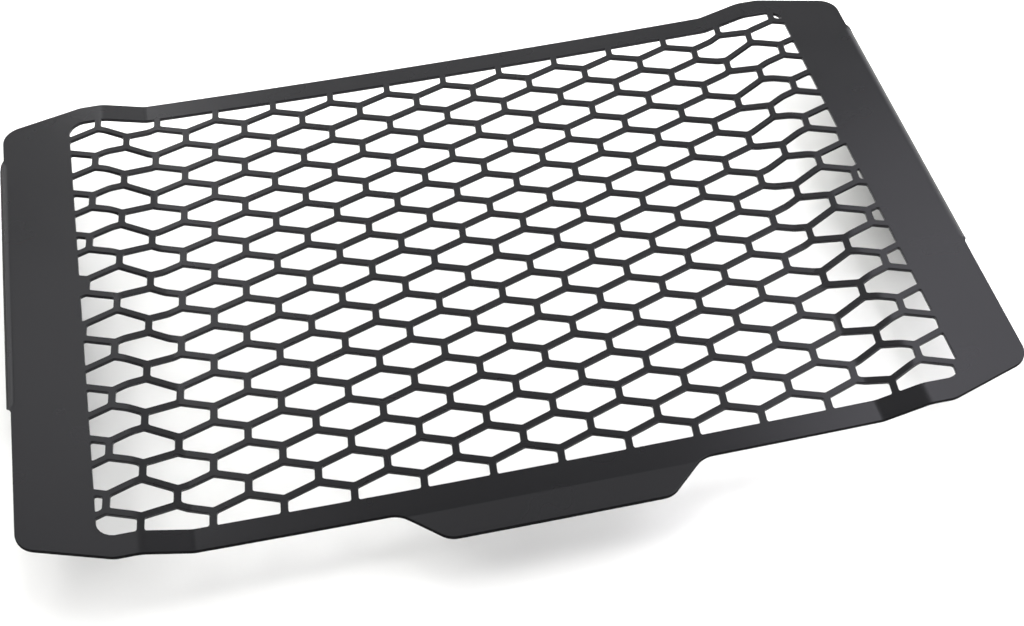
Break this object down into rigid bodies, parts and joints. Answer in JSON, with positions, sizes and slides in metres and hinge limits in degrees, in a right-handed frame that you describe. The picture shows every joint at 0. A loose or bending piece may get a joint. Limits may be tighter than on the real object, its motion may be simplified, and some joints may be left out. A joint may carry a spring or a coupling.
{
  "type": "motorcycle radiator guard",
  "caption": "Folded sheet-metal radiator guard: hexagon mesh panel with narrow rims, raised solid side wings with folded side flanges, and a tab on its bottom edge.",
  "frame": {"origin": "middle of the bounding box at the height of the flanges' lower edges, on which the guard lies face up", "axes": "+X across the guard to the right-hand wing, +Y to the top rim, +Z out of the outer face, away from the radiator"},
  "size_m": [0.3746, 0.255, 0.03],
  "materials": {
    "powder_coat": "satin black powder coat on aluminium sheet"
  },
  "bodies": {
    "root": {"guard_sheet": "powder_coat"}
  },
  "joints": []
}
